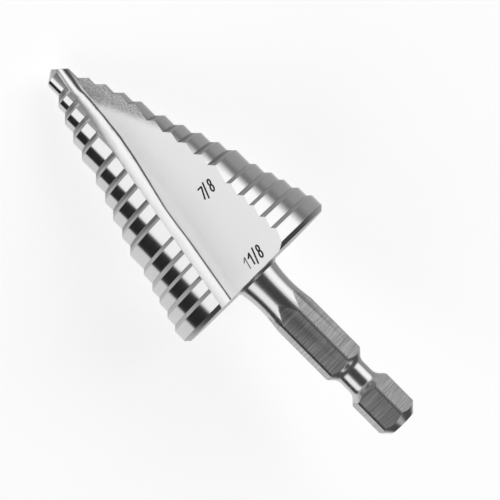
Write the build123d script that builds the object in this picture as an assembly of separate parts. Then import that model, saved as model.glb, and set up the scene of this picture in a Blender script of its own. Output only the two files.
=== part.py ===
from build123d import *
from math import atan2, cos, radians, sin, sqrt, tan
import os

# Step drill with two straight flutes and a quarter inch hexagon shank: one piece of steel.
# It is drawn with its point at the origin and its shank along +X, one flute facing +Z,
# and then laid down the way it comes to rest. Sizes are in millimetres and degrees.

# ---- Head: steps ----
# One row for each step, from the point back: its diameter and the length of its land.
# The first land is measured from the very point. The longer lands are the ones that
# carry a size mark or end a group of steps.
steps = (
    (4.2, 3.72),
    (6.5, 1.34),
    (8.7, 1.77),
    (10.8, 1.84),
    (12.55, 2.91),
    (14.55, 1.96),
    (16.5, 1.67),
    (18.5, 1.90),
    (20.25, 1.68),
    (22.225, 2.84),
    (23.4, 1.78),
    (24.9, 1.48),
    (26.0, 1.66),
    (27.35, 1.59),
    (28.575, 1.91),
)
riser_angle = 45.0           # cone between two lands, measured from the axis
rear_chamfer = 0.66          # on the rim behind the largest step
relief_offset = 0.15         # how far each land is turned off centre, towards its cutting edge
relief_direction = 100.0     # where the land's centre goes, from +Y towards +Z
land_split_angle = 80.0      # plane between the two lands, inside both flutes

# ---- Point ----
point_angle = 110.0          # full angle of the cone
chisel_length = 0.6          # edge across the web
chisel_direction = 60.0      # from +Y towards +Z
heel_facet_slope = 0.93      # drop of the facet behind each lip, per millimetre of radius
heel_facet_direction = 195.0

# ---- Flutes ----
flute_wall_start = 0.40      # where the cutting wall crosses the point's plane, past the axis
flute_lead_angle = 10.76     # the wall runs off the axis towards the rear
flute_hook_angle = 5.7       # the wall leans back under the cutting edge
flute_floor_tilt = 21.8      # the floor climbs towards the land behind it
flute_floor_at_point = -0.204
flute_floor_turn = 7.3       # from the point to where the floor starts to climb
flute_floor_at_rear = 9.72
flute_floor_sag = 0.45       # the climbing floor is slightly hollow
flute_floor_blend = 20.0
flute_root_radius = 1.25

# ---- Neck and shank ----
waist_diameter = 6.2
waist_arc_radius = 18.5
waist_from_head = 4.1
neck_bevel = 0.45            # cone where the neck meets the head's rear face
hex_across_flats = 6.3
hex_corner_diameter = 7.0    # the corners are turned down to this
hex_clocking = 14.6          # turn of one flat from facing with the flute
shank_length = 30.3          # from the head's rear face to the end
groove_from_end = 9.55       # centre of the latch groove
groove_width = 5.54
groove_floor_diameter = 4.55
groove_blend_radius = 1.5
groove_wall_crown = 0.04     # each side of the groove bulges this much
shank_end_diameter = 4.3     # flat end face, inside a 45 degree chamfer

# ---- Lengths that follow ----
riser_rise = (steps[-1][0] - steps[0][0]) / 2
lands_length = sum(length for diameter, length in steps)
head_length = lands_length + riser_rise / tan(radians(riser_angle)) + rear_chamfer
head_radius = steps[-1][0] / 2
overall_length = head_length + shank_length
reach = 2 * overall_length   # longer than anything that a cutting tool has to pass
tolerance = 0.001            # points nearer than this to a line or a plane are on it


def across(angle):
    """A unit vector square to the axis, at an angle from +Y towards +Z."""
    return Vector(0, cos(radians(angle)), sin(radians(angle)))


def turned(corners):
    """A solid turned about the X axis from the corners of its half section."""
    return revolve(make_face(Polyline(*corners, close=True)), Axis.X)


def stepped_blank():
    """The head before fluting, smaller in radius by the offset of its lands."""
    corners = [(0, 0)]
    x = 0
    last_radius = 0
    for diameter, length in steps:
        radius = diameter / 2 - relief_offset
        if last_radius:
            x += (radius - last_radius) / tan(radians(riser_angle))
        corners.append((x, radius))
        x += length
        corners.append((x, radius))
        last_radius = radius
    corners.append((head_length, last_radius - rear_chamfer))
    corners.append((head_length, 0))
    return turned(corners)


def relieved_half(side):
    """One land's half of the head, turned off centre so that it falls away behind its edge."""
    turn = 180 if side < 0 else 0
    shift = across(relief_direction + turn) * relief_offset
    blank = Pos(shift.X, shift.Y, shift.Z) * stepped_blank()
    facing = across(land_split_angle + 90 + turn)
    return split(blank, bisect_by=Plane(origin=(0, 0, 0), z_dir=facing), keep=Keep.TOP)


def point_form():
    """Everything in front of which no steel is left: a cone drawn out into a chisel edge."""
    half_width = reach * tan(radians(point_angle / 2))
    along = across(chisel_direction)
    side = across(chisel_direction + 90)
    cone = turned([(0, 0), (reach, half_width), (reach, 0)])
    end = along * (chisel_length / 2)
    wedge_face = make_face(Polyline(
        Vector(0, 0, 0) - end,
        Vector(reach, 0, 0) + side * half_width - end,
        Vector(reach, 0, 0) - side * half_width - end,
        close=True,
    ))
    wedge = extrude(wedge_face, amount=chisel_length, dir=along)
    first = Pos(end.X, end.Y, end.Z) * cone
    second = Pos(-end.X, -end.Y, -end.Z) * cone
    return first + wedge + second


def heel_facets():
    """A roof over the point: one plane behind each lip."""
    side = across(heel_facet_direction)
    along = across(heel_facet_direction + 90)
    half_width = reach / heel_facet_slope
    roof_face = make_face(Polyline(
        Vector(0, 0, 0) - along * reach,
        Vector(reach, 0, 0) + side * half_width - along * reach,
        Vector(reach, 0, 0) - side * half_width - along * reach,
        close=True,
    ))
    return extrude(roof_face, amount=2 * reach, dir=along)


def floor_section():
    """Side view of one flute's tool: level over the web, then climbing to the rear."""
    rise = flute_floor_at_rear - flute_floor_at_point
    run = head_length - flute_floor_turn
    chord = sqrt(rise ** 2 + run ** 2)
    front = (-head_radius, flute_floor_at_point)
    turn = (flute_floor_turn, flute_floor_at_point)
    rear = (head_length, flute_floor_at_rear)
    hollow = (
        flute_floor_turn + run / 2 + flute_floor_sag * rise / chord,
        flute_floor_at_point + rise / 2 - flute_floor_sag * run / chord,
    )
    outline = [
        Line(front, turn),
        ThreePointArc(turn, hollow, rear),
        Line(rear, (head_length, reach)),
        Line((head_length, reach), (-head_radius, reach)),
        Line((-head_radius, reach), front),
    ]
    section = make_face(outline)
    corner = section.vertices().sort_by_distance(turn)[0]
    return fillet(corner, flute_floor_blend)


def flute_tool():
    """What one flute takes away: a climbing floor, a leaning wall and a round root."""
    climb = across(flute_floor_tilt)
    floor_up = across(flute_floor_tilt + 90)
    side_view = Plane(origin=climb * -reach, x_dir=(1, 0, 0), z_dir=climb * -1)
    block = extrude(side_view * floor_section(), amount=2 * reach, dir=climb)
    facing = Vector(tan(radians(flute_lead_angle)), 1, -tan(radians(flute_hook_angle)))
    wall = Plane(origin=(0, flute_wall_start, 0), z_dir=facing)
    tool = split(block, bisect_by=wall, keep=Keep.TOP)
    root = [
        edge for edge in tool.edges()
        if abs(wall.to_local_coords(edge.center()).Z) < tolerance
        and edge.center().dot(floor_up) < flute_floor_at_rear
    ]
    return fillet(root, flute_root_radius)


def shank():
    """Neck, hexagon, latch groove and end chamfer, turned and then milled with six flats."""
    waist = head_length + waist_from_head
    waist_radius = waist_diameter / 2
    corner_radius = hex_corner_diameter / 2
    drop = corner_radius - waist_radius
    hex_start = waist + sqrt(2 * waist_arc_radius * drop - drop ** 2)
    neck_root = waist_radius + waist_arc_radius - sqrt(waist_arc_radius ** 2 - waist_from_head ** 2)
    groove = overall_length - groove_from_end
    groove_floor = groove_floor_diameter / 2
    groove_depth = corner_radius - groove_floor
    floor_half = groove_width / 2 - groove_depth
    end_radius = shank_end_diameter / 2
    end_chamfer = corner_radius - end_radius
    neck = ThreePointArc((head_length, neck_root), (waist, waist_radius), (hex_start, corner_radius))
    front_lip = (groove - groove_width / 2, corner_radius)
    front_foot = (groove - floor_half, groove_floor)
    rear_foot = (groove + floor_half, groove_floor)
    rear_lip = (groove + groove_width / 2, corner_radius)
    front_side = SagittaArc(front_lip, front_foot, groove_wall_crown)
    rear_side = SagittaArc(rear_foot, rear_lip, groove_wall_crown)
    body = Polyline(
        rear_lip,
        (overall_length - end_chamfer, corner_radius),
        (overall_length, end_radius),
        (overall_length, 0),
        (head_length - neck_bevel, 0),
        (head_length - neck_bevel, neck_root + 2 * neck_bevel),
        (head_length, neck_root + 2 * neck_bevel),
        (head_length, neck_root),
    )
    section = make_face([
        neck,
        Line((hex_start, corner_radius), front_lip),
        front_side,
        Line(front_foot, rear_foot),
        rear_side,
        *body.edges(),
    ])
    floor_corners = section.vertices().filter_by(
        lambda corner: abs(corner.Y - groove_floor) < tolerance)
    section = fillet(floor_corners, groove_blend_radius)
    neck_corner = section.vertices().sort_by_distance((head_length, neck_root))[0]
    section = chamfer(neck_corner, neck_bevel)
    blank = revolve(section, Axis.X)
    flats_length = overall_length - waist
    flats = Plane(origin=(waist, 0, 0), x_dir=across(hex_clocking), z_dir=(1, 0, 0))
    hexagon = RegularPolygon(hex_across_flats / 2, 6, major_radius=False)
    ring = Circle(hex_corner_diameter) - hexagon
    return blank - extrude(flats * ring, amount=flats_length)


def topple(corners, centre, down, touching):
    """Tip over what touches the floor, towards the centre of mass, until one more corner lands.

    Returns the new direction of down and the corner that landed.
    """
    pivot = touching[0]
    lean = centre - pivot
    lean -= down * lean.dot(down)
    line = Vector(0, 0, 0)
    if len(touching) == 2:
        line = (touching[1] - pivot).normalized()
        lean -= line * lean.dot(line)
    lean = lean.normalized()

    def angle_to_floor(corner):
        arm = corner - pivot
        height = max(0, -arm.dot(down))
        return atan2(height, arm.dot(lean))

    def off_the_hinge(corner):
        arm = corner - pivot
        return (arm - line * arm.dot(line)).length > tolerance

    landing = min(filter(off_the_hinge, corners), key=angle_to_floor)
    angle = angle_to_floor(landing)
    return down * cos(angle) + lean * sin(angle), landing


def resting_direction(corners, centre):
    """Down, in the drill's own frame, once it has come to rest from its flute-up pose."""
    down = Vector(0, 0, -1)
    touching = [max(corners, key=lambda corner: corner.dot(down))]
    down, landing = topple(corners, centre, down, touching)
    touching.append(landing)
    for _ in corners:
        down, landing = topple(corners, centre, down, touching)
        hinge, touching = touching, None
        triangle = [*hinge, landing]
        for index in range(3):
            first, second, third = triangle[index:] + triangle[:index]
            edge = second - first
            inside = edge.cross(third - first).dot(down)
            if edge.cross(centre - first).dot(down) * inside < 0:
                touching = [first, second]
        if touching is None:
            return down
    raise ValueError("the drill does not come to rest")


def laid_down(solid):
    """The drill at rest on the plane Z = 0, over the middle of its own footprint."""
    corners = [Vector(corner) for corner in solid.vertices()]
    down = resting_direction(corners, solid.center(CenterOf.MASS))
    up = down * -1
    along = Vector(1, 0, 0) - up * up.X
    settled = Plane(origin=(0, 0, 0), x_dir=along, z_dir=up).to_local_coords(solid)
    box = settled.bounding_box()
    return Pos(-box.center().X, -box.center().Y, -box.min.Z) * settled


if __name__ == "__main__":
    blank = relieved_half(1) + relieved_half(-1)
    pointed = blank & point_form() & heel_facets()
    flute = flute_tool()
    head = pointed - flute - Rot(180, 0, 0) * flute
    drill = laid_down(head + shank())
    os.makedirs("parts", exist_ok=True)
    export_step(drill, "parts/step_drill.step")
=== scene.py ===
"""Looks of a two flute step drill with a quarter inch hexagon shank.

The drill is one piece of bright steel: polished round lands, ground flutes, a turned
neck and milled hexagon flats. It lies at rest on a pale floor in plain soft light.
"""

from __future__ import annotations

import logging
import math
from collections.abc import Iterable, Mapping, Sequence
from dataclasses import dataclass, field, replace
from enum import Enum

import bmesh
import bpy
from mathutils import Matrix, Vector
from mathutils.bvhtree import BVHTree

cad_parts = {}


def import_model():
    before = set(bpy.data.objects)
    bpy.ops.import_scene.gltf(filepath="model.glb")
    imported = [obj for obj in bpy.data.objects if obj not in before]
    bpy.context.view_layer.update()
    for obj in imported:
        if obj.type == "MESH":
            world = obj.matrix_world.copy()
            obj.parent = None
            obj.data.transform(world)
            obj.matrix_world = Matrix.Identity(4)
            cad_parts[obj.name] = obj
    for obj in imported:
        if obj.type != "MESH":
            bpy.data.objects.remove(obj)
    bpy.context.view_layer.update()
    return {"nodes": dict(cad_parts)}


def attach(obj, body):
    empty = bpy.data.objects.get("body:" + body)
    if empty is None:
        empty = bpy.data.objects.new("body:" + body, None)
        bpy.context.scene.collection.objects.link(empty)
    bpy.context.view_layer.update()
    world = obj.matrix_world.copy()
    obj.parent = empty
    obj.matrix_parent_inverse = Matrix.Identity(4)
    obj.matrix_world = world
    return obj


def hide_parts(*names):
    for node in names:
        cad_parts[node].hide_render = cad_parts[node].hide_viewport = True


LOG = logging.getLogger("step_drill")
MM = 0.001
BODY = "root"
NODE = "step_drill"
# Where each riser meets the step in front; the riser finish paints shade there.
FOOT = "riser_foot"
BLACK = (0.0, 0.0, 0.0, 1.0)
WHITE = (1.0, 1.0, 1.0, 1.0)

Limits = tuple[float, float]
Line = Sequence[tuple[float, float]]


class Region(Enum):
    """The parts of the surface that different cuts make, by the name of their finish."""

    LAND = "polished_land"
    RISER = "turned_riser"
    FRONT_FLUTE = "front_flute"
    REAR_FLUTE = "rear_flute"
    POINT = "ground_point"
    REAR_FACE = "turned_rear_face"
    NECK = "turned_shank"
    FLAT = "milled_flat"


def share_of_way(value: float, low: float, high: float) -> float:
    """How far a value has come from one limit to the other, kept between 0 and 1."""
    return min(max((value - low) / (high - low), 0.0), 1.0)


def ring(x: float, y: float, wide: float, tall: float) -> Line:
    """A closed oval stroke.

    Args:
        x: Its middle, sideways.
        y: Its middle, upwards.
        wide: Half its width.
        tall: Half its height.

    Returns:
        The points of the stroke, the last on the first.
    """
    sides = 16
    return tuple(
        (x + wide * math.cos(math.tau * k / sides), y + tall * math.sin(math.tau * k / sides))
        for k in range(sides + 1)
    )


@dataclass(frozen=True)
class DrillAxes:
    """The drill's own axes at rest: along it, across it and out of its front flute.

    Sizes on the drill are in millimetres from its point, and places in the scene in metres.
    """

    tip: tuple[float, float, float] = (-35.668, 0.0, 2.387)
    pitch: float = 14.757
    roll: float = 7.949

    @property
    def along(self) -> Vector:
        """Unit vector from the point to the end of the shank."""
        pitch = math.radians(self.pitch)
        return Vector((math.cos(pitch), 0.0, math.sin(pitch)))

    @property
    def across(self) -> Vector:
        """Unit vector to the side, away from the front cutting edge."""
        pitch, roll = math.radians(self.pitch), math.radians(self.roll)
        return Vector((
            -math.sin(pitch) * math.sin(roll),
            math.cos(roll),
            math.cos(pitch) * math.sin(roll),
        ))

    @property
    def out(self) -> Vector:
        """Unit vector out of the front flute."""
        return self.along.cross(self.across)

    @property
    def origin(self) -> Vector:
        """The point of the drill in the scene, in metres."""
        return Vector(self.tip) * MM

    def place(self, x: float, y: float, z: float) -> Vector:
        """Turn a place on the drill into a place in the scene.

        Args:
            x: Distance behind the point, in millimetres.
            y: Distance across, in millimetres.
            z: Height towards the front flute, in millimetres.

        Returns:
            The place in the scene, in metres.
        """
        offset = self.along * x + self.across * y + self.out * z
        return self.origin + offset * MM

    def measure(self, place: Vector) -> Vector:
        """Turn a place in the scene into millimetres along, across and out of the drill."""
        offset = (place - self.origin) / MM
        return Vector((offset.dot(self.along), offset.dot(self.across), offset.dot(self.out)))

    def turn(self, direction: Vector) -> Vector:
        """Turn a direction in the scene into one along, across and out of the drill."""
        return Vector((
            direction.dot(self.along),
            direction.dot(self.across),
            direction.dot(self.out),
        ))


class Shade:
    """A number on its way through a material, for writing shader maths as plain maths."""

    def __init__(self, recipe: Recipe, socket: bpy.types.NodeSocket) -> None:
        """Wrap an output socket.

        Args:
            recipe: The recipe that the socket's node belongs to.
            socket: The output socket that carries the number.
        """
        self.recipe = recipe
        self.socket = socket

    def _maths(self, operation: str, *values: Shade | float) -> Shade:
        """Add one Math node and give its result."""
        node = self.recipe.node("ShaderNodeMath", {"operation": operation}, dict(enumerate(values)))
        return Shade(self.recipe, node.outputs[0])

    def __add__(self, other: Shade | float) -> Shade:
        """This number plus another."""
        return self._maths("ADD", self, other)

    def __radd__(self, other: float) -> Shade:
        """A plain number plus this one."""
        return self._maths("ADD", other, self)

    def __sub__(self, other: Shade | float) -> Shade:
        """This number less another."""
        return self._maths("SUBTRACT", self, other)

    def __rsub__(self, other: float) -> Shade:
        """A plain number less this one."""
        return self._maths("SUBTRACT", other, self)

    def __mul__(self, other: Shade | float) -> Shade:
        """This number times another."""
        return self._maths("MULTIPLY", self, other)

    def __truediv__(self, other: Shade | float) -> Shade:
        """This number divided by another."""
        return self._maths("DIVIDE", self, other)

    def angle_from(self, other: Shade) -> Shade:
        """Angle in radians of the corner whose sides are this number and another."""
        return self._maths("ARCTAN2", self, other)

    def above(self, low: float, high: float) -> Shade:
        """A smooth mask of where this number is past a limit.

        Args:
            low: Where the mask starts to rise.
            high: Where the mask is full.

        Returns:
            The mask, from 0 to 1.
        """
        node = self.recipe.node(
            "ShaderNodeMapRange",
            {"interpolation_type": "SMOOTHSTEP"},
            {"Value": self, "From Min": low, "From Max": high},
        )
        return Shade(self.recipe, node.outputs["Result"])

    def below(self, low: float, high: float) -> Shade:
        """A smooth mask of where this number is short of a limit."""
        return 1.0 - self.above(low, high)

    def towards(self, goal: Shade | float, mask: Shade) -> Shade:
        """This number, changed to another one where a mask is full."""
        return self + (goal - self) * mask


class Recipe:
    """The node tree of one material or of the world."""

    def __init__(self, tree: bpy.types.NodeTree) -> None:
        """Start from an empty tree.

        Args:
            tree: The node tree to fill.
        """
        self.tree = tree
        tree.nodes.clear()

    def node(
        self,
        kind: str,
        settings: Mapping[str, object] | None = None,
        values: Mapping[str | int, object] | None = None,
    ) -> bpy.types.Node:
        """Add a node, set it up and feed it.

        Args:
            kind: The node's type.
            settings: Its settings. "stops" gives a ramp's stops as (place, grey) pairs.
            values: Its sockets, by name or number, as plain values, shades or sockets.

        Returns:
            The new node.
        """
        node = self.tree.nodes.new(kind)
        for name, setting in (settings or {}).items():
            if name == "stops":
                self._set_stops(node.color_ramp, setting)
            else:
                setattr(node, name, setting)
        for name, value in (values or {}).items():
            socket = node.inputs[name]
            if isinstance(value, Shade):
                self.tree.links.new(value.socket, socket)
            elif isinstance(value, bpy.types.NodeSocket):
                self.tree.links.new(value, socket)
            else:
                socket.default_value = value
        return node

    @staticmethod
    def _set_stops(ramp: bpy.types.ColorRamp, stops: Line) -> None:
        """Give a ramp its stops, in order."""
        while len(ramp.elements) > 1:
            ramp.elements.remove(ramp.elements[-1])
        for index, (place, grey) in enumerate(stops):
            element = ramp.elements[0] if index == 0 else ramp.elements.new(place)
            element.position = place
            element.color = (grey, grey, grey, 1.0)

    def vector(self, x: Shade | float, y: Shade | float, z: Shade | float) -> bpy.types.NodeSocket:
        """Join three numbers into a vector."""
        return self.node("ShaderNodeCombineXYZ", None, {0: x, 1: y, 2: z}).outputs[0]

    def dot(self, vector: bpy.types.NodeSocket, direction: Vector) -> Shade:
        """How far a vector reaches along a fixed direction."""
        node = self.node(
            "ShaderNodeVectorMath",
            {"operation": "DOT_PRODUCT"},
            {0: vector, 1: tuple(direction)},
        )
        return Shade(self, node.outputs["Value"])

    def length(self, vector: bpy.types.NodeSocket) -> Shade:
        """How long a vector is."""
        node = self.node("ShaderNodeVectorMath", {"operation": "LENGTH"}, {0: vector})
        return Shade(self, node.outputs["Value"])

    def noise(
        self,
        place: bpy.types.NodeSocket,
        detail: float = 2.0,
        roughness: float = 0.5,
    ) -> Shade:
        """Soft random values from 0 to 1 with grains about one unit wide.

        Args:
            place: Where to read them.
            detail: How many finer layers are added.
            roughness: How strong the finer layers are.

        Returns:
            The random value.
        """
        node = self.node(
            "ShaderNodeTexNoise",
            {"noise_dimensions": "3D"},
            {"Vector": place, "Scale": 1.0, "Detail": detail, "Roughness": roughness},
        )
        return Shade(self, node.outputs["Fac"])

    def ramp(self, value: Shade, stops: Line) -> Shade:
        """Read a number off a line through a few stops.

        Args:
            value: Where to read, from 0 to 1.
            stops: The (place, value) pairs.

        Returns:
            The value read.
        """
        node = self.node("ShaderNodeValToRGB", {"stops": stops}, {"Fac": value})
        grey = self.node("ShaderNodeRGBToBW", None, {0: node.outputs["Color"]})
        return Shade(self, grey.outputs[0])

    def grey(self, level: Shade | float) -> bpy.types.NodeSocket:
        """A neutral colour of a given level."""
        node = self.node(
            "ShaderNodeMix",
            {"data_type": "RGBA", "clamp_factor": True},
            {"Factor": level, 6: BLACK, 7: WHITE},
        )
        return node.outputs[2]


def new_material(name: str) -> tuple[bpy.types.Material, Recipe]:
    """Start a material and give it with its empty recipe."""
    material = bpy.data.materials.new(name)
    material.use_nodes = True
    return material, Recipe(material.node_tree)


def put_in_scene(name: str, data: bpy.types.ID) -> bpy.types.Object:
    """Make an object of a mesh or a camera and put it in the scene."""
    thing = bpy.data.objects.new(name, data)
    bpy.context.scene.collection.objects.link(thing)
    return thing


@dataclass(frozen=True)
class Place:
    """Where a spot of the surface is on the drill, in millimetres."""

    along: Shade
    across: Shade
    out: Shade

    def from_axis(self) -> Shade:
        """How far the spot is from the drill's axis."""
        recipe = self.out.recipe
        return recipe.length(recipe.vector(0.0, self.across, self.out))

    def in_bands(self, lines: float, drift: float) -> bpy.types.NodeSocket:
        """The spot squeezed along the drill, for lines that run round it."""
        return self.out.recipe.vector(self.along * lines, self.across * drift, self.out * drift)


@dataclass(frozen=True)
class Levels:
    """How bright, how rough and how high the surface is at a spot."""

    grey: Shade
    roughness: Shade
    height: Shade


@dataclass(frozen=True)
class Finish:
    """A finish of bare steel: how bright, how rough and how finely scored it is.

    The changes are the spread over the tool marks, and bump is in millimetres.
    """

    axes: DrillAxes
    region: Region
    grey: float
    roughness: float
    grey_change: float = 0.0
    roughness_change: float = 0.0
    bump: float = 0.0

    def marks(self, recipe: Recipe, place: Place) -> Shade:
        """The tool marks of this finish, from 0 to 1 around one half."""
        return recipe.noise(recipe.vector(place.along, place.across, place.out))

    def worked(self, recipe: Recipe, place: Place, levels: Levels) -> Levels:
        """Change the levels where part of the surface is worked otherwise.

        Args:
            recipe: The material's recipe.
            place: Where the spot is.
            levels: The plain finish there.

        Returns:
            The levels with the change.
        """
        return levels

    def make(self) -> bpy.types.Material:
        """Build the material.

        Returns:
            The material.
        """
        material, recipe = new_material(self.region.value)
        spot = recipe.node("ShaderNodeTexCoord").outputs["Object"]
        offset = recipe.node(
            "ShaderNodeVectorMath",
            {"operation": "SUBTRACT"},
            {0: spot, 1: tuple(self.axes.origin)},
        ).outputs[0]
        place = Place(
            recipe.dot(offset, self.axes.along / MM),
            recipe.dot(offset, self.axes.across / MM),
            recipe.dot(offset, self.axes.out / MM),
        )
        marks = self.marks(recipe, place)
        plain = Levels(
            grey=self.grey + (marks - 0.5) * self.grey_change,
            roughness=self.roughness + (marks - 0.5) * self.roughness_change,
            height=marks,
        )
        levels = self.worked(recipe, place, plain)
        scored = recipe.node("ShaderNodeBump", None, {
            "Strength": 1.0,
            "Distance": self.bump * MM,
            "Height": levels.height,
        })
        shader = recipe.node("ShaderNodeBsdfPrincipled", None, {
            "Base Color": recipe.grey(levels.grey),
            "Metallic": 1.0,
            "Roughness": levels.roughness,
            "Normal": scored.outputs[0],
        })
        recipe.node("ShaderNodeOutputMaterial", None, {"Surface": shader.outputs[0]})
        return material


@dataclass(frozen=True)
class TurnedFinish(Finish):
    """Fine rings round the axis, as left by turning and polishing."""

    rings: float = 8.0
    drift: float = 0.35

    def marks(self, recipe: Recipe, place: Place) -> Shade:
        """Rings that vary slowly round the drill."""
        return recipe.noise(place.in_bands(self.rings, self.drift), detail=3.0, roughness=0.6)


@dataclass(frozen=True)
class LandFinish(TurnedFinish):
    """Polished lands, with a matt ground strip behind the first few cutting edges.

    The strip starts at a fixed share of the radius from the axis and ends at a line that
    runs along the edge. It fades out towards strip_end, in millimetres behind the point.
    """

    strip_grey: float = 0.72
    strip_roughness: float = 0.55
    strip_start: float = 0.31
    strip_start_fade: float = 0.06
    strip_lead: float = 0.19
    strip_limits: Limits = (1.1, 1.3)
    strip_end: float = 19.0
    strip_end_fade: float = 4.0
    middle: float = 0.01

    def worked(self, recipe: Recipe, place: Place, levels: Levels) -> Levels:
        """Dull the strip beside the cutting edge, on both lands."""
        front = place.out.above(-self.middle, self.middle) * 2.0 - 1.0
        across = place.across * front
        past_start = across + place.from_axis() * self.strip_start
        strip = (
            past_start.above(-self.strip_start_fade, self.strip_start_fade)
            * (across + place.along * self.strip_lead).below(*self.strip_limits)
            * place.along.below(self.strip_end - self.strip_end_fade, self.strip_end)
        )
        return Levels(
            grey=levels.grey.towards(self.strip_grey, strip),
            roughness=levels.roughness.towards(self.strip_roughness, strip),
            height=levels.height,
        )


@dataclass(frozen=True)
class RiserFinish(TurnedFinish):
    """Turned cones between the steps, with painted shade where they meet the step in front."""

    foot_shade_grey: float = 0.3
    foot_place: float = 0.76

    def worked(self, recipe: Recipe, place: Place, levels: Levels) -> Levels:
        """Paint shade on the foot of each riser."""
        nearness = recipe.node("ShaderNodeAttribute", {"attribute_name": FOOT}).outputs["Fac"]
        # The foot's darker grey is painted shade in the corner where the riser meets the step in
        # front.
        foot = Shade(recipe, nearness).above(self.foot_place, 1.0)
        return replace(levels, grey=levels.grey.towards(self.foot_shade_grey, foot))


@dataclass(frozen=True)
class FaceTurnedFinish(Finish):
    """Rings round the centre of a face that is square to the axis."""

    rings: float = 8.0

    def marks(self, recipe: Recipe, place: Place) -> Shade:
        """Rings by distance from the axis."""
        rings = place.from_axis() * self.rings
        return recipe.noise(recipe.vector(rings, place.along, 0.0), detail=3.0, roughness=0.6)


@dataclass(frozen=True)
class FluteFinish(Finish):
    """Fine lines along the flute, with a darker, mottled patch towards the point.

    side is 1 for the front flute and -1 for the rear one. The patch lies between the
    flute's root and a ragged slanting edge. Each of those is a line, across in terms of
    along, and each fades over the limits given for it.
    """

    side: int = 1
    lead: float = 8.9
    lines: float = 7.0
    line_length: float = 0.35
    patch_grey: float = 0.68
    patch_grey_change: float = 2.2
    patch_roughness: float = 0.5
    patch_roughness_change: float = 0.2
    patch_height: float = 2.0
    patch_grain: float = 3.2
    patch_grain_squeeze: float = 2.0
    patch_start: float = 9.2
    patch_start_across: float = 1.47
    patch_slant: float = 2.35
    patch_ragged: float = 1.5
    patch_limits: Limits = (-1.2, 2.6)
    root_lead: float = 0.095
    root_start: float = 1.75
    root_limits: Limits = (0.0, 0.35)

    def marks(self, recipe: Recipe, place: Place) -> Shade:
        """Lines that follow the cutting edge."""
        lead = math.radians(self.lead)
        across = place.across * self.side
        with_line = place.along * math.cos(lead) - across * math.sin(lead)
        over_line = place.along * math.sin(lead) + across * math.cos(lead)
        spot = recipe.vector(with_line * self.line_length, over_line * self.lines, place.out)
        return recipe.noise(spot, detail=4.0, roughness=0.65)

    def patch(self, recipe: Recipe, place: Place) -> Shade:
        """Mask of the darker, mottled patch."""
        across = place.across * self.side
        squeezed = recipe.vector(place.along, across * self.patch_grain_squeeze, 0.0)
        ragged = recipe.noise(squeezed) - 0.5
        from_edge = (
            (across - self.patch_start_across) * self.patch_slant
            + self.patch_start
            - place.along
            + ragged * self.patch_ragged
        )
        from_root = across + place.along * self.root_lead - self.root_start
        return from_edge.above(*self.patch_limits) * from_root.above(*self.root_limits)

    def worked(self, recipe: Recipe, place: Place, levels: Levels) -> Levels:
        """Give the patch its darker, mottled grey, roughness and height."""
        patch = self.patch(recipe, place)
        grain = recipe.noise(
            recipe.vector(
                place.along * self.patch_grain,
                place.across * self.side * self.patch_grain * self.patch_grain_squeeze,
                place.out,
            ),
            detail=5.0,
            roughness=0.75,
        )
        grey = self.patch_grey + (grain - 0.5) * self.patch_grey_change
        roughness = self.patch_roughness + (grain - 0.5) * self.patch_roughness_change
        return Levels(
            grey=levels.grey.towards(grey, patch),
            roughness=levels.roughness.towards(roughness, patch),
            height=levels.height.towards(grain * self.patch_height, patch),
        )


@dataclass(frozen=True)
class MilledFinish(Finish):
    """Straight cutter lines square to the axis."""

    lines: float = 5.0
    drift: float = 0.15

    def marks(self, recipe: Recipe, place: Place) -> Shade:
        """Lines of uneven strength across each flat."""
        return recipe.noise(place.in_bands(self.lines, self.drift), detail=4.0, roughness=0.7)


@dataclass(frozen=True)
class MarkFinish:
    """Dark, dull steel where a size mark has been burnt in."""

    axes: DrillAxes
    name: str
    grey: float
    roughness: float = 0.6
    roughness_change: float = 0.2
    grain: float = 9.0

    def make(self) -> bpy.types.Material:
        """Build the material.

        Returns:
            The material.
        """
        material, recipe = new_material(self.name)
        spot = recipe.node("ShaderNodeTexCoord").outputs["Object"]
        fine = recipe.node(
            "ShaderNodeVectorMath", {"operation": "SCALE"}, {0: spot, "Scale": self.grain / MM},
        ).outputs[0]
        uneven = recipe.noise(fine) - 0.5
        shader = recipe.node("ShaderNodeBsdfPrincipled", None, {
            "Base Color": recipe.grey(self.grey + uneven * self.grey),
            "Metallic": 0.0,
            "Roughness": self.roughness + uneven * self.roughness_change,
        })
        recipe.node("ShaderNodeOutputMaterial", None, {"Surface": shader.outputs[0]})
        return material


@dataclass(frozen=True)
class CoveTurn:
    """One part of the worked cove, and the rows of the plain fillet that go to make it.

    Angles say which way the surface faces, in degrees up from square to the wall.
    """

    first: float
    last: float
    worked_last: float
    length: float


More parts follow.
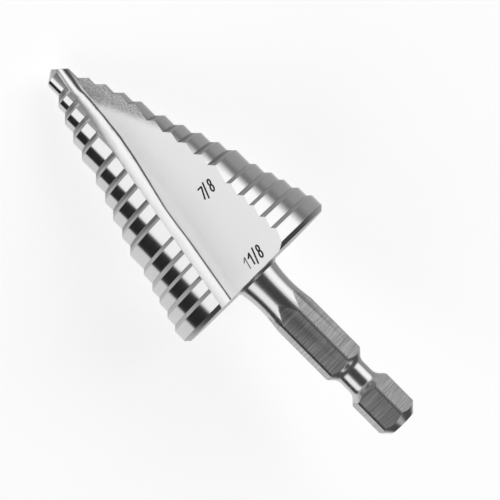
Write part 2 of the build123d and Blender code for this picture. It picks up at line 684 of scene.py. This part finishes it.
@dataclass(frozen=True)
class FluteCove:
    """The root of each flute: a broad cove off the wall, then a tight corner at the floor.

    The solid has one even fillet there. Each row of the fillet's corners is moved on to the
    worked shape, in the same cross-section, and the floor beside it is drawn along. growth
    gives how large the cove is at places along the drill. The cove fades in over the
    limits in fade, and it falls more steeply from the wall until the limits in
    steeper_until. Lengths are in millimetres.
    """

    fillet: float = 1.25
    floor_share: float = 1.463
    wall_start: float = 0.4
    wall_lead: float = 10.76
    wall_hook: float = 5.7
    floor_lean: float = 27.6
    turns: tuple[CoveTurn, ...] = (
        CoveTurn(first=90.0, last=62.0, worked_last=47.0, length=0.25),
        CoveTurn(first=62.0, last=24.0, worked_last=25.0, length=1.5),
        CoveTurn(first=24.0, last=10.0, worked_last=16.0, length=0.3),
        CoveTurn(first=10.0, last=-27.6, worked_last=-27.6, length=0.3),
    )
    steps: int = 40
    growth: Line = (
        (1.5, 0.9), (4.8, 0.98), (7.7, 1.22), (10.7, 1.36), (14.5, 1.44),
        (18.0, 1.38), (26.8, 1.06), (29.7, 1.09), (32.7, 1.16), (43.0, 1.16),
    )
    fade: Limits = (3.2, 6.0)
    steeper: float = 14.0
    steeper_until: Limits = (9.0, 20.0)
    beside: float = 2.0

    @property
    def edge(self) -> float:
        """How far from the wall the solid's fillet meets the floor."""
        return self.fillet * self.floor_share

    @property
    def wall(self) -> Vector:
        """The wall's normal."""
        lead, hook = math.radians(self.wall_lead), math.radians(self.wall_hook)
        return Vector((math.tan(lead), 1.0, -math.tan(hook))).normalized()

    def from_wall(self, spot: Vector) -> float:
        """How far a spot is from the wall."""
        return (spot - Vector((0.0, self.wall_start, 0.0))).dot(self.wall)

    def corner_height(self) -> float:
        """How far up the wall the solid's fillet starts, from the bare corner."""
        return self.fillet / math.tan(math.radians(90.0 - self.floor_lean) / 2)

    def worked(self, facing: float, along: float) -> tuple[float, float]:
        """Where the worked cove lies for one row of the fillet.

        Args:
            facing: Which way the row faces in the solid, in degrees up from square to the wall.
            along: How far behind the point it is.

        Returns:
            Its distance from the wall, and its height over the bare corner.
        """
        near, far = self.steeper_until
        extra = self.steeper * share_of_way(along, far, near)
        away, drop = 0.0, 0.0
        row: tuple[float, float] | None = None
        start = self.turns[0].first
        for turn in self.turns:
            end = turn.worked_last + extra
            extra = 0.0
            for step in range(self.steps):
                share = (step + 0.5) / self.steps
                if row is None and turn.first + (turn.last - turn.first) * share < facing:
                    row = (away, drop)
                angle = math.radians(start + (end - start) * share)
                away += math.cos(angle) * turn.length / self.steps
                drop += math.sin(angle) * turn.length / self.steps
            start = end
        end_height = away * math.tan(math.radians(self.floor_lean))
        row_away, row_drop = row or (away, drop)
        return row_away, end_height + drop - row_drop

    def growth_at(self, along: float) -> float:
        """How large the cove is at one place along the drill."""
        for (before, small), (after, large) in zip(self.growth, self.growth[1:]):
            if along <= after:
                return small + (large - small) * share_of_way(along, before, after)
        return self.growth[-1][1]

    def moved(self, spot: Vector) -> Vector:
        """Move one corner of the fillet.

        Args:
            spot: Where it is, on the front flute, in the drill's own millimetres.

        Returns:
            Where it goes, in the same cross-section.
        """
        up = Vector((0.0, -self.wall.z, self.wall.y)).normalized()
        over = Vector((0.0, 1.0, self.wall.z / self.wall.y)).normalized()
        away = min(max(self.from_wall(spot), 0.0), self.edge)
        facing = math.asin(max(-1.0, 1.0 - away / self.fillet))
        height = self.corner_height() - self.fillet * math.cos(facing)
        corner = spot - over * away - up * height
        new_away, new_height = self.worked(math.degrees(facing), spot.x)
        target = corner + (over * new_away + up * new_height) * self.growth_at(spot.x)
        return spot.lerp(target, share_of_way(spot.x, *self.fade))

    def drawn_along(self, spot: Vector) -> Vector:
        """Move one corner of the floor beside the cove, less the further off it is.

        Args:
            spot: Where it is, on the front flute, in the drill's own millimetres.

        Returns:
            Where it goes.
        """
        away = self.from_wall(spot)
        last = spot + Vector((0.0, (self.edge - away) / self.wall.y, 0.0))
        share = 1.0 - share_of_way(away, self.edge, self.edge + self.beside)
        return spot + (self.moved(last) - last) * share


@dataclass(frozen=True)
class CutSorter:
    """Tells which cut made a bit of surface, by where it is and which way it faces.

    Places are in the drill's own millimetres. The limits called facing are cosines.
    """

    head_length: float = 42.9
    past_head: float = 0.02
    point_end: float = 2.1
    point_facing: float = -0.4
    rear_facing: float = 0.99
    land_facing: float = 0.965
    land_slope: float = 0.02
    riser_facing: float = 0.97
    wall_facing: float = 0.2
    hex_sides: int = 6
    hex_turn: float = 14.6
    flat_distance: float = 3.15
    flat_facing: float = 0.9999
    flat_tolerance: float = 0.01

    def region_of(self, spot: Vector, facing: Vector) -> Region:
        """Say which cut made a bit of surface.

        Args:
            spot: Its middle, in the drill's own millimetres.
            facing: Its normal, in the drill's own directions.

        Returns:
            The region.
        """
        outward = Vector((0.0, spot.y, spot.z)).normalized()
        if spot.x > self.head_length + self.past_head:
            return Region.FLAT if self.on_flat(spot, facing) else Region.NECK
        if facing.x > self.rear_facing:
            return Region.REAR_FACE
        if spot.x < self.point_end and facing.x < self.point_facing:
            return Region.POINT
        if facing.dot(outward) > self.land_facing and abs(facing.x) < self.land_slope:
            return Region.LAND
        riser = Vector((-1.0, outward.y, outward.z)).normalized()
        chamfer = Vector((1.0, outward.y, outward.z)).normalized()
        if max(facing.dot(riser), facing.dot(chamfer)) > self.riser_facing:
            return Region.RISER
        return Region.FRONT_FLUTE if self.in_front_flute(facing) else Region.REAR_FLUTE

    def in_front_flute(self, facing: Vector) -> bool:
        """Whether a bit of flute surface belongs to the front flute."""
        return facing.z > 0.0 or (abs(facing.z) < self.wall_facing and facing.y > 0.0)

    def on_flat(self, spot: Vector, facing: Vector) -> bool:
        """Whether a bit of the shank lies on one of the hexagon's flats."""
        for index in range(self.hex_sides):
            angle = math.radians(90.0 + self.hex_turn + 360.0 / self.hex_sides * index)
            side = Vector((0.0, math.cos(angle), math.sin(angle)))
            level = abs(spot.dot(side) - self.flat_distance) < self.flat_tolerance
            if facing.dot(side) > self.flat_facing and level:
                return True
        return False


@dataclass
class DrillBody:
    """The steel itself: the drill's solid with broken edges and a finish for each cut.

    Lengths are in millimetres and angles in degrees.
    """

    axes: DrillAxes
    finishes: Mapping[Region, Finish]
    cuts: CutSorter = field(default_factory=CutSorter)
    cove: FluteCove = field(default_factory=FluteCove)
    edge_width: float = 0.07
    edge_segments: int = 2
    sharp_angle: float = 20.0
    weld_distance: float = 0.0005
    flatness: float = 0.05
    on_wall: float = 0.005
    fillet_margin: float = 0.03
    fillet_overlap: float = 0.6
    piece: bpy.types.Object | None = field(default=None, init=False)

    def build(self, node: bpy.types.Object) -> bpy.types.Object:
        """Copy the solid's mesh, join its corners, sort its faces and break its edges.

        Args:
            node: The solid's object.

        Returns:
            The finished object.
        """
        mesh = node.data.copy()
        mesh.name = "drill_steel"
        mesh.materials.clear()
        shape = bmesh.new()
        shape.from_mesh(mesh)
        bmesh.ops.remove_doubles(shape, verts=shape.verts, dist=self.weld_distance * MM)
        bmesh.ops.dissolve_limit(
            shape,
            angle_limit=math.radians(self.flatness),
            verts=shape.verts,
            edges=shape.edges,
        )
        self.sort_faces(shape)
        self.work_coves(shape)
        self.find_feet(shape)
        self.sharpen(shape)
        shape.to_mesh(mesh)
        shape.free()
        if "custom_normal" in mesh.attributes:
            mesh.attributes.remove(mesh.attributes["custom_normal"])
        for region in Region:
            mesh.materials.append(self.finishes[region].make())
        piece = put_in_scene("drill_steel", mesh)
        self.break_edges(piece)
        self.piece = piece
        return piece

    def sort_faces(self, shape: bmesh.types.BMesh) -> None:
        """Give every face the material of its region."""
        order = list(Region)
        for face in shape.faces:
            spot = self.axes.measure(face.calc_center_median())
            facing = self.axes.turn(face.normal)
            face.material_index = order.index(self.cuts.region_of(spot, facing))
            face.smooth = True

    def work_coves(self, shape: bmesh.types.BMesh) -> None:
        """Give the root of both flutes its worked shape."""
        for region, side in ((Region.FRONT_FLUTE, 1), (Region.REAR_FLUTE, -1)):
            index = list(Region).index(region)
            faces = [face for face in shape.faces if face.material_index == index]
            fillet, beside = self.cove_corners(faces, side)
            for corner in beside:
                self.shift(corner, self.cove.drawn_along(self.on_front(corner.co, side)), side)
            for corner in fillet:
                self.shift(corner, self.cove.moved(self.on_front(corner.co, side)), side)
        shape.normal_update()

    def cove_corners(
        self,
        faces: Iterable[bmesh.types.BMFace],
        side: int,
    ) -> tuple[set[bmesh.types.BMVert], set[bmesh.types.BMVert]]:
        """Find the corners of one flute that the worked cove moves.

        Args:
            faces: The flute's faces.
            side: 1 for the front flute and -1 for the rear one.

        Returns:
            The corners of the fillet, and those of the floor beside it.
        """
        away = {
            corner: self.cove.from_wall(self.on_front(corner.co, side))
            for face in faces
            for corner in face.verts
        }
        reach = self.cove.edge + self.fillet_margin
        fillet: set[bmesh.types.BMVert] = set()
        for face in faces:
            distances = [away[corner] for corner in face.verts]
            starts_past = min(distances) > reach - 2 * self.fillet_margin
            ends_past = max(distances) > reach + self.fillet_overlap
            if max(distances) < self.on_wall or starts_past or ends_past:
                continue
            fillet.update(corner for corner in face.verts if away[corner] < reach)
        low, high = self.cove.edge, reach + self.cove.beside
        beside = {
            corner for corner, distance in away.items()
            if corner not in fillet and low <= distance < high
        }
        return fillet, beside

    def on_front(self, spot: Vector, side: int) -> Vector:
        """A spot in the drill's own millimetres, turned over if it is on the rear flute."""
        own = self.axes.measure(spot)
        return Vector((own.x, own.y * side, own.z * side))

    def shift(self, corner: bmesh.types.BMVert, spot: Vector, side: int) -> None:
        """Put a corner at a spot that is given as if it were on the front flute."""
        corner.co = self.axes.place(spot.x, spot.y * side, spot.z * side)

    def find_feet(self, shape: bmesh.types.BMesh) -> None:
        """Mark the corners where each riser meets the step in front of it."""
        foot = shape.verts.layers.float.new(FOOT)
        risers = list(Region).index(Region.RISER)
        for face in shape.faces:
            if face.material_index != risers:
                continue
            spots = [self.axes.measure(corner.co).x for corner in face.verts]
            middle = (min(spots) + max(spots)) / 2
            for corner, spot in zip(face.verts, spots):
                if spot < middle:
                    corner[foot] = 1.0

    def sharpen(self, shape: bmesh.types.BMesh) -> None:
        """Mark the real edges of the steel, so that shading and bevels stop there."""
        limit = math.radians(self.sharp_angle)
        for edge in shape.edges:
            edge.smooth = edge.calc_face_angle(0.0) < limit

    def break_edges(self, piece: bpy.types.Object) -> None:
        """Take the razor sharpness off every edge."""
        bevel = piece.modifiers.new("broken_edges", "BEVEL")
        bevel.width = self.edge_width * MM
        bevel.segments = self.edge_segments
        bevel.limit_method = "ANGLE"
        bevel.angle_limit = math.radians(self.sharp_angle)
        bevel.use_clamp_overlap = True
        bevel.harden_normals = True
        bevel.miter_outer = "MITER_SHARP"

    def surface(self) -> BVHTree:
        """The body's surface, for laying marks on it."""
        shape = bmesh.new()
        shape.from_mesh(self.piece.data)
        tree = BVHTree.FromBMesh(shape)
        shape.free()
        return tree


class Glyph(Enum):
    """Upright figures drawn as strokes, in units of their own height."""

    ONE = (((-0.25, 0.66), (0.0, 0.99), (0.0, 0.0)),)
    SEVEN = (((-0.15, 0.97), (0.27, 0.97), (0.02, 0.0)),)
    STROKE = (((-0.06, -0.17), (0.1, 1.14)),)
    EIGHT = (ring(0.13, 0.74, 0.12, 0.24), ring(0.13, 0.25, 0.14, 0.26))


@dataclass
class SizeMark:
    """A size burnt into the floor of a flute, in slanted figures.

    It reads across the drill, and the tops of the figures point to the drill's point.
    foot is how far behind the point the figures stand, and start is where they begin
    across the drill. Lengths are in millimetres and the slant is in degrees.
    """

    axes: DrillAxes
    name: str
    finish: MarkFinish
    figures: Sequence[tuple[Glyph, float]]
    foot: float
    start: float
    height: float = 1.8
    slant: float = 15.0
    stroke: float = 0.24
    lift: float = 0.006
    spacing: float = 0.08
    closing: float = 0.008
    laid_from: float = 60.0

    def lay(self, surface: BVHTree, x: float, y: float) -> Vector | None:
        """Drop a point of the mark on to the steel.

        Args:
            surface: The body's surface.
            x: Distance behind the point, in millimetres.
            y: Distance across, in millimetres.

        Returns:
            The place in the scene, or None where there is no steel.
        """
        above = self.axes.place(x, y, self.laid_from)
        spot, normal, _, _ = surface.ray_cast(above, -self.axes.out)
        return None if spot is None else spot + normal * (self.lift * MM)

    def stroke_outline(self, points: Line) -> list[tuple[Vector, Vector]]:
        """Walk along a stroke and give its two sides at close steps.

        Args:
            points: The stroke's middle line, in millimetres.

        Returns:
            Pairs of points left and right of the line.
        """
        path = [Vector(point) for point in points]
        fine: list[Vector] = []
        for first, last in zip(path, path[1:]):
            steps = max(1, math.ceil((last - first).length / self.spacing))
            fine.extend(first.lerp(last, index / steps) for index in range(steps))
        fine.append(path[-1])
        closed = (fine[0] - fine[-1]).length < self.closing
        sides = []
        for index, point in enumerate(fine):
            before = fine[index - 1] if index else (fine[-2] if closed else point)
            after = fine[index + 1] if index + 1 < len(fine) else (fine[1] if closed else point)
            heading = (after - before).normalized()
            side = Vector((-heading.y, heading.x)) * (self.stroke / 2)
            sides.append((point + side, point - side))
        return sides

    def build(self, surface: BVHTree) -> bpy.types.Object:
        """Make the mark as thin ribbons that lie on the steel.

        Args:
            surface: The body's surface.

        Returns:
            The mark's object.
        """
        shape = bmesh.new()
        lean = math.tan(math.radians(self.slant))
        for glyph, offset in self.figures:
            for line in glyph.value:
                points = [
                    (
                        self.start + offset + (u + v * lean) * self.height,
                        self.foot - v * self.height,
                    )
                    for u, v in line
                ]
                self.add_ribbon(shape, surface, points)
        mesh = bpy.data.meshes.new(self.name)
        shape.normal_update()
        shape.to_mesh(mesh)
        shape.free()
        mesh.materials.append(self.finish.make())
        return put_in_scene(self.name, mesh)

    def add_ribbon(
        self,
        shape: bmesh.types.BMesh,
        surface: BVHTree,
        points: Line,
    ) -> None:
        """Add one stroke as a strip of faces.

        Args:
            shape: The mesh to add to.
            surface: The body's surface.
            points: The stroke's middle line as (across, along) pairs, in millimetres.
        """
        before: list[bmesh.types.BMVert] = []
        for left, right in self.stroke_outline(points):
            laid = [self.lay(surface, side.y, side.x) for side in (left, right)]
            if None in laid:
                before = []
                continue
            row = [shape.verts.new(spot) for spot in laid]
            if before:
                shape.faces.new((before[0], before[1], row[1], row[0]))
            before = row


@dataclass(frozen=True)
class Studio:
    """The pale floor, the soft light all round and the camera.

    around gives the light's level by angle about the drill's axis, from straight out of
    the front flute. The levels towards its two ends take over within the limits given for
    each, as shares of the way along. The floor and the planes near and far are in metres,
    and distance and look_at in millimetres.
    """

    axes: DrillAxes
    floor_size: float = 6.0
    floor_grey: float = 0.8
    floor_glow: float = 0.7
    lens: float = 138.6
    sensor: float = 36.0
    distance: float = 282.2
    look_at: tuple[float, float, float] = (39.55, 2.04, 0.0)
    tilt: float = 1.75
    picture_turn: float = 45.13
    around: Line = (
        (-180.0, 0.68), (-111.5, 0.68), (-109.0, 0.02), (-74.0, 0.02),
        (-71.5, 1.0), (-35.0, 1.0), (-32.0, 0.35), (-28.0, 0.14),
        (-20.0, 0.08), (-12.0, 0.05), (29.0, 0.05), (37.0, 0.1),
        (43.0, 1.0), (56.0, 1.14), (84.0, 1.1), (92.0, 0.5),
        (98.0, 0.18), (104.0, 0.2), (114.0, 0.3), (150.0, 0.36),
        (180.0, 0.68),
    )
    top_level: float = 2.0
    tip_light: float = 0.42
    tip_limits: Limits = (-0.86, -0.66)
    tip_spot: float = 1.0
    tip_spot_limits: Limits = (-0.95, -0.925)
    rear_light: float = 0.07
    rear_limits: Limits = (0.4, 0.7)
    rear_spot: float = 0.5
    rear_spot_limits: Limits = (0.972, 0.985)
    near: float = 0.01
    far: float = 20.0

    def world(self) -> bpy.types.World:
        """Light from every side: two soft boxes, with dark and grey areas between them.

        Returns:
            The world.
        """
        world = bpy.data.worlds.new("studio")
        world.use_nodes = True
        recipe = Recipe(world.node_tree)
        towards = recipe.node("ShaderNodeTexCoord").outputs["Generated"]
        across = recipe.dot(towards, self.axes.across)
        out = recipe.dot(towards, self.axes.out)
        turn = across.angle_from(out) / math.tau + 0.5
        stops = [
            ((angle + 180.0) / 360.0, level / self.top_level) for angle, level in self.around
        ]
        level = recipe.ramp(turn, stops) * self.top_level
        along = recipe.dot(towards, self.axes.along)
        level = level.towards(self.tip_light, along.below(*self.tip_limits))
        level = level.towards(self.tip_spot, along.below(*self.tip_spot_limits))
        level = level.towards(self.rear_light, along.above(*self.rear_limits))
        level = level.towards(self.rear_spot, along.above(*self.rear_spot_limits))
        light = recipe.node("ShaderNodeBackground", None, {"Color": WHITE, "Strength": level})
        seen = recipe.node("ShaderNodeBackground", None, {"Color": WHITE, "Strength": 1.0})
        path = recipe.node("ShaderNodeLightPath")
        mixed = recipe.node("ShaderNodeMixShader", None, {
            0: path.outputs["Is Camera Ray"],
            1: light.outputs[0],
            2: seen.outputs[0],
        })
        recipe.node("ShaderNodeOutputWorld", None, {"Surface": mixed.outputs[0]})
        return world

    def floor(self) -> bpy.types.Object:
        """A wide pale floor that looks white and keeps the drill's soft shadow.

        The steel does not mirror it, and shows the light from below instead.

        Returns:
            The floor.
        """
        mesh = bpy.data.meshes.new("floor")
        shape = bmesh.new()
        bmesh.ops.create_grid(shape, x_segments=2, y_segments=2, size=self.floor_size / 2)
        shape.to_mesh(mesh)
        shape.free()
        material, recipe = new_material("pale_floor")
        path = recipe.node("ShaderNodeLightPath")
        camera = Shade(recipe, path.outputs["Is Camera Ray"])
        glossy = Shade(recipe, path.outputs["Is Glossy Ray"])
        passed = Shade(recipe, path.outputs["Is Transmission Ray"])
        glow = (camera + glossy + passed).above(0.0, 1.0) * self.floor_glow
        matt = recipe.node("ShaderNodeBsdfDiffuse", None, {
            "Color": (self.floor_grey, self.floor_grey, self.floor_grey, 1.0),
        })
        lit = recipe.node("ShaderNodeEmission", None, {"Strength": glow})
        both = recipe.node("ShaderNodeAddShader", None, {0: matt.outputs[0], 1: lit.outputs[0]})
        recipe.node("ShaderNodeOutputMaterial", None, {"Surface": both.outputs[0]})
        mesh.materials.append(material)
        floor = put_in_scene("floor", mesh)
        floor.visible_glossy = False
        return floor

    def camera(self) -> bpy.types.Object:
        """A long lens looking down into the front flute.

        Returns:
            The camera.
        """
        tilt = math.radians(self.tilt)
        back = self.axes.along * math.sin(tilt) + self.axes.out * math.cos(tilt)
        down_the_drill = self.axes.along * math.cos(tilt) - self.axes.out * math.sin(tilt)
        turn = math.radians(self.picture_turn)
        right = down_the_drill * math.cos(turn) + self.axes.across * math.sin(turn)
        up = back.cross(right)
        data = bpy.data.cameras.new("camera")
        data.lens = self.lens
        data.sensor_width = self.sensor
        data.clip_start = self.near
        data.clip_end = self.far
        camera = put_in_scene("camera", data)
        place = self.axes.place(*self.look_at) + back * (self.distance * MM)
        turned = Matrix((right, up, back)).transposed().to_4x4()
        camera.matrix_world = Matrix.Translation(place) @ turned
        bpy.context.scene.camera = camera
        return camera

    def build(self) -> None:
        """Set up the floor, the light and the camera."""
        self.floor()
        bpy.context.scene.world = self.world()
        bpy.context.scene.view_settings.view_transform = "Standard"
        self.camera()


def finishes_for(axes: DrillAxes) -> dict[Region, Finish]:
    """Pick the finish of each region.

    Args:
        axes: The drill's axes.

    Returns:
        The finishes by region.
    """
    finishes = (
        LandFinish(
            axes, Region.LAND, grey=0.86, roughness=0.13,
            grey_change=0.08, roughness_change=0.06, bump=0.0012, rings=7.0,
        ),
        RiserFinish(
            axes, Region.RISER, grey=0.6, roughness=0.3,
            grey_change=0.12, roughness_change=0.1, bump=0.002, rings=9.0,
        ),
        FluteFinish(
            axes, Region.FRONT_FLUTE, grey=0.92, roughness=0.3,
            grey_change=0.07, roughness_change=0.1, bump=0.003, side=1,
        ),
        FluteFinish(
            axes, Region.REAR_FLUTE, grey=0.92, roughness=0.3,
            grey_change=0.07, roughness_change=0.1, bump=0.003, side=-1,
        ),
        TurnedFinish(
            axes, Region.POINT, grey=0.8, roughness=0.25,
            grey_change=0.1, roughness_change=0.1, bump=0.002, rings=5.0, drift=3.0,
        ),
        FaceTurnedFinish(
            axes, Region.REAR_FACE, grey=0.8, roughness=0.3,
            grey_change=0.1, roughness_change=0.1, bump=0.003, rings=6.0,
        ),
        TurnedFinish(
            axes, Region.NECK, grey=0.84, roughness=0.24,
            grey_change=0.1, roughness_change=0.08, bump=0.002, rings=6.0,
        ),
        MilledFinish(
            axes, Region.FLAT, grey=0.54, roughness=0.13,
            grey_change=0.9, roughness_change=0.2, bump=0.01,
        ),
    )
    return {finish.region: finish for finish in finishes}


def size_marks(axes: DrillAxes) -> list[SizeMark]:
    """The marks of the tenth and of the largest step.

    Args:
        axes: The drill's axes.

    Returns:
        The marks.
    """
    dark = MarkFinish(axes, "burnt_mark", grey=0.02)
    faint = MarkFinish(axes, "faint_mark", grey=0.25)
    return [
        SizeMark(
            axes, "mark_7_8", dark,
            ((Glyph.SEVEN, 0.0), (Glyph.STROKE, 0.76), (Glyph.EIGHT, 1.57)),
            foot=30.14, start=2.547,
        ),
        SizeMark(
            axes, "mark_1_1_8", dark,
            ((Glyph.ONE, 0.0), (Glyph.STROKE, 0.6), (Glyph.EIGHT, 1.27)),
            foot=41.8, start=1.12,
        ),
        SizeMark(
            axes, "mark_1_faint", faint, ((Glyph.ONE, 0.0),),
            foot=41.8, start=0.26, stroke=0.16,
        ),
    ]


def main() -> None:
    """Build the drill's pieces in order, then the studio."""
    logging.basicConfig(level=logging.INFO, format="%(name)s: %(message)s")
    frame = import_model()
    axes = DrillAxes()

    body = DrillBody(axes, finishes_for(axes))
    steel = body.build(frame["nodes"][NODE])
    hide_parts(NODE)
    surface = body.surface()
    marks = [mark.build(surface) for mark in size_marks(axes)]
    for piece in (steel, *marks):
        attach(piece, BODY)
        LOG.info("%s: %d faces", piece.name, len(piece.data.polygons))

    Studio(axes).build()
    LOG.info("drill dressed")


if __name__ == "__main__":
    main()
